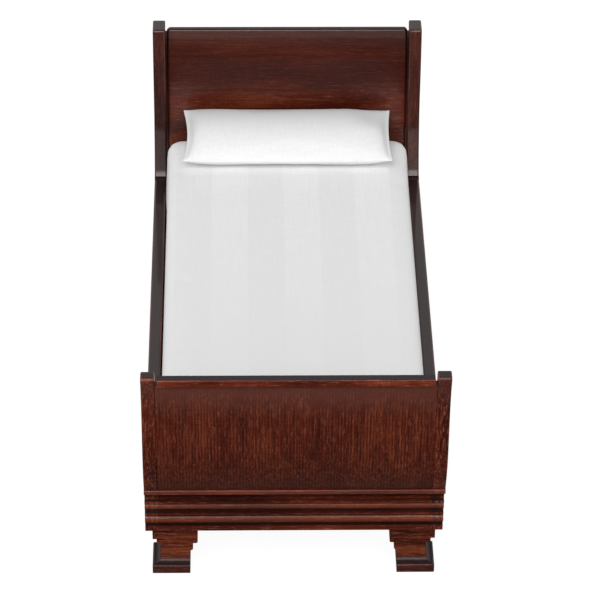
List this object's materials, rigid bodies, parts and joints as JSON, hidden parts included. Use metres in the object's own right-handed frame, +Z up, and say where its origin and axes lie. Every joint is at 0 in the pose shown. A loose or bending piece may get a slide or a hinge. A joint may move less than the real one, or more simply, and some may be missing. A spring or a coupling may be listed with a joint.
{
  "type": "miniature sleigh bed",
  "caption": "Dolls' house single sleigh bed with curved headboard and footboard, reeded base, bracket feet, loose mattress and pillow.",
  "frame": {"origin": "on the floor under the middle of the bed", "axes": "+Z up, +Y from the footboard to the headboard, +X to the right seen from the footboard"},
  "size_m": [0.092, 0.1974, 0.0916],
  "materials": {
    "mahogany": "gloss red mahogany lacquer",
    "slat_wood": "stained, thin satin lacquer",
    "mattress_cotton": "white cotton with woven stripes",
    "pillow_cotton": "white cotton"
  },
  "bodies": {
    "frame": {"footboard_panel": "mahogany", "footboard_cap": "mahogany", "footboard_base_rail": "mahogany", "footboard_stile_left": "mahogany", "footboard_stile_right": "mahogany", "headboard_panel": "mahogany", "headboard_base_rail": "mahogany", "headboard_stile_left": "mahogany", "headboard_stile_right": "mahogany", "side_rail_left": "mahogany", "side_rail_right": "mahogany", "foot_front_left": "mahogany", "foot_front_right": "mahogany", "foot_rear_left": "mahogany", "foot_rear_right": "mahogany", "ledger_left": "slat_wood", "ledger_right": "slat_wood", "slat_1": "slat_wood", "slat_2": "slat_wood", "slat_3": "slat_wood", "slat_4": "slat_wood", "slat_5": "slat_wood", "rail_dowels": "slat_wood", "foot_dowels": "slat_wood"},
    "mattress": {"mattress": "mattress_cotton"},
    "pillow": {"pillow": "pillow_cotton"}
  },
  "joints": [
    {"name": "mattress_lift", "type": "slide", "parent": "frame", "child": "mattress", "axis": [0, 0, 1], "range_m": [0, 0.06]},
    {"name": "pillow_lift", "type": "slide", "parent": "mattress", "child": "pillow", "axis": [0, 0, 1], "range_m": [0, 0.04]}
  ]
}
